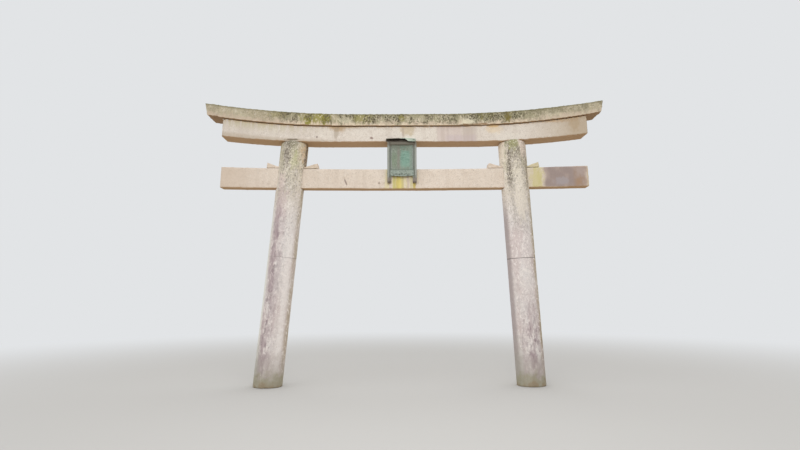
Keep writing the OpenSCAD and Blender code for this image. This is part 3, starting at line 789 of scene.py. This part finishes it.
def flecked(tree, place, colour, mask):
    """The colour of weathered sheet with dark and pale flecks where the mask says."""
    for start, tone in ((14, (76, 88, 80)), (17, (180, 191, 180))):
        weathered = noise(tree, place, 0.017, (1.3, 1, 1), detail=4, start=start)
        colour = stain(tree, colour, tone, band(tree, weathered, 0.53, 0.61), mask, 0.6)
    return colour


panel_patina, tree, place, colour = patina("panel_patina", (144, 152, 140), (134, 144, 131))
along = axis_of(tree, place, "X")
up = axis_of(tree, place, "Z")
# The panel has a brownish streak, and painted shade under the hood
plaque_y = -0.2
colour = stain(tree, colour, (140, 136, 128),
               spot(tree, place, (-0.11, plaque_y, 4.1), (0.028, 0.2, 0.24), 0.5, 0.03), 0.8)
colour = stain(tree, colour, (118, 122, 110), band(tree, up, 4.20, 4.28), 0.6)
# An upright patch of teal verdigris, brushed sideways
teal = (136, 173, 158)
upright_patch = times(tree, between(tree, along, -0.065, 0.095, 0.02),
                      between(tree, up, 3.93, 4.20, 0.04), 0.75)
colour = stain(tree, colour, teal, upright_patch)
colour = stain(tree, colour, teal,
               spot(tree, place, (0.01, plaque_y, 4.04), (0.10, 0.2, 0.19), 1.0, 0.03), 0.5)
brushed = band(tree, noise(tree, place, 0.014, (7, 1, 1), detail=3, start=3), 0.48, 0.62)
colour = stain(tree, colour, (98, 132, 120),
               brushed, between(tree, along, -0.08, 0.09, 0.02), band(tree, up, 3.95, 4.05), 0.6)
colour = stain(tree, colour, (138, 158, 148), band(tree, along, 0.06, 0.12), 0.6)
colour = stain(tree, colour, (126, 146, 118),
               spot(tree, place, (-0.19, plaque_y, 4.06), (0.06, 0.2, 0.14), 1.2, 0.025), 0.4)
colour = flecked(tree, place, colour, 0.25)
finish_surface(tree, place, colour, 0.45, shine=0.4, grain=0.012)

frame_patina, tree, place, colour = patina("frame_patina", (142, 147, 140), (124, 130, 122))
along = axis_of(tree, place, "X")
up = axis_of(tree, place, "Z")
facing = axis_of(tree, node(tree, "NewGeometry").outputs["Normal"], "Y")
# The boards have a painted highlight on what faces the front
colour = stain(tree, colour, (156, 160, 152), band(tree, facing, -0.8, -0.95), 0.5)
# The side boards have painted shade along their inner edges and a painted highlight along their
# outer edges
for left, right, tone in ((-0.272, -0.242, (112, 119, 110)), (0.14, 0.18, (110, 116, 108)),
                          (-0.302, -0.284, (172, 175, 168)), (0.19, 0.215, (170, 172, 166))):
    colour = stain(tree, colour, tone,
                   between(tree, along, left, right, 0.007), band(tree, up, 3.70, 3.78), 0.6)
# Brown at the top under the hood: part tone, part painted shade
colour = stain(tree, colour, (112, 104, 92), band(tree, up, 4.26, 4.32), 0.8)
# The bottom rail is pale and flecked, with a dark line over it and dark spots at its piercings
rail = times(tree, between(tree, up, 3.74, 3.86, 0.015), between(tree, along, -0.26, 0.16, 0.01))
colour = stain(tree, colour, (154, 168, 158), rail, 0.75)
colour = stain(tree, colour, (86, 94, 84),
               between(tree, up, 3.853, 3.861, 0.004), between(tree, along, -0.22, -0.05, 0.02),
               0.7)
for x, z, size in ((-0.195, 3.746, 0.014), (0.058, 3.754, 0.015), (0.112, 3.745, 0.010)):
    colour = stain(tree, colour, (46, 50, 44),
                   spot(tree, place, (x, plaque_y, z), (size, 0.2, size), 0.3, 0.01), 0.85)
colour = flecked(tree, place, colour, rail)
# Towards the feet the boards are pocked and turn brown
pock = band(tree, noise(tree, place, 0.02, detail=3, start=12), 0.58, 0.64)
colour = stain(tree, colour, (64, 60, 52), pock, band(tree, up, 3.84, 3.78), 0.7)
colour = stain(tree, colour, (142, 130, 122), band(tree, up, 3.75, 3.69), 0.8)
colour = stain(tree, colour, (96, 84, 72), band(tree, up, 3.665, 3.64), 0.6)
finish_surface(tree, place, colour, 0.45, shine=0.4, grain=0.012)

hood_patina, tree, place, colour = patina("hood_patina", (192, 204, 190), (170, 184, 170))
along = axis_of(tree, place, "X")
# The hood is brown where it is torn open
colour = stain(tree, colour, (104, 95, 84), band(tree, along, -0.02, -0.10), 0.9)
facing = axis_of(tree, node(tree, "NewGeometry").outputs["Normal"], "Z")
# Its hollow is painted shade: grey-brown, and near black under the arch
shadow_brown = (44, 36, 30)
colour = stain(tree, colour, shadow_brown, band(tree, facing, -0.1, -0.4), 0.95)
deep_in = band(tree, axis_of(tree, place, "Y"), -0.30, -0.27)
inner = times(tree, deep_in, band(tree, facing, 0.5, 0.3))
colour = stain(tree, colour, (132, 122, 112), inner, 0.9)
colour = stain(tree, colour, shadow_brown,
               inner, band(tree, axis_of(tree, place, "Z"), 4.385, 4.40), 0.9)
finish_surface(tree, place, colour, 0.4, shine=0.4, grain=0.012)

buckles = lumps("buckles", 0.13, depth=1)
for part, voxel, paint, buckle in (
        ("panel", 0.004, panel_patina, 0.006), ("side_left", 0.004, frame_patina, 0.003),
        ("side_right", 0.004, frame_patina, 0.003), ("top_rail", 0.004, frame_patina, 0.003),
        ("bottom_rail", 0.003, frame_patina, 0.003), ("hood", 0.0025, hood_patina, 0.010)):
    sheet = stone(f"plaque_{part}_sheet", f"plaque_{part}", voxel, 1)
    wear(sheet, 0.001, 0.0005, 0.002)
    # The thin sheet is buckled both ways
    for direction in ("Y", "Z"):
        finish_with(sheet, "DISPLACE", texture=buckles, strength=buckle, mid_level=0.0,
                    direction=direction)
    sheet.data.materials.append(paint)


# Arms: two flat iron bars, rusted brown, that lie level between the strut's front and the
# plaque's back and tie the two together.
arm_rust, tree, place = start_paint("arm_rust")
rust = noise(tree, place, 0.02, detail=5)
colour = stain(tree, (92, 70, 54), (62, 52, 46), band(tree, rust, 0.42, 0.6))
colour = stain(tree, colour, (138, 88, 52),
               band(tree, noise(tree, place, 0.008, detail=3), 0.56, 0.66), 0.7)
finish_surface(tree, place, colour, 0.6, shine=0.3, grain=0.006)
for side in ("left", "right"):
    arm = stone(f"plaque_arm_{side}_bar", f"plaque_arm_{side}", 0.002, 1)
    wear(arm, 0.0004, 0.0004, 0.0008)
    arm.data.materials.append(arm_rust)
